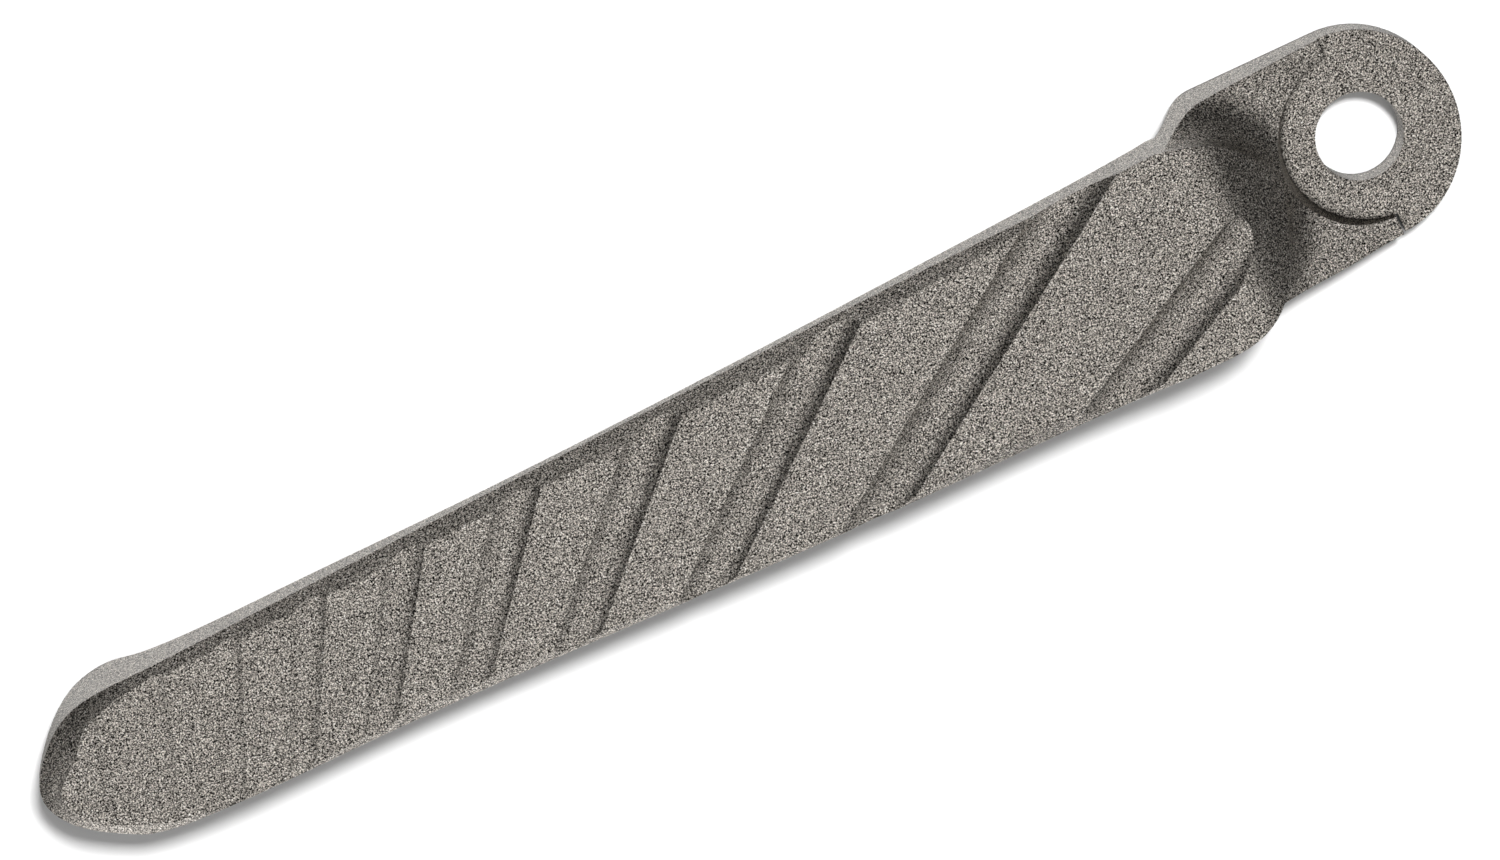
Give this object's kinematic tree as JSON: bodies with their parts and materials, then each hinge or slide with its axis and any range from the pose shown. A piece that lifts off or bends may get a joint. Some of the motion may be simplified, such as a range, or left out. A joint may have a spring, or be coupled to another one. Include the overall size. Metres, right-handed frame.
{
  "type": "clip lever",
  "caption": "Slim tapered metal lever with a fan of grooves on its grip face, a stepped foot, a rounded bump under the tip and a screw eye with a recessed seat.",
  "frame": {"origin": "axis of the screw hole, on the mounting plane under the foot", "axes": "+X along the lever towards the eye's rounded end, +Z along the hole and out of the grooved face, +Y across"},
  "size_m": [0.0593, 0.0089, 0.005],
  "materials": {
    "lever_metal": "bead-blasted matt grey, fine grain",
    "eye_metal": "bead-blasted matt grey, fine grain"
  },
  "bodies": {
    "root": {"clip_lever": "lever_metal", "screw_eye": "eye_metal"}
  },
  "joints": []
}
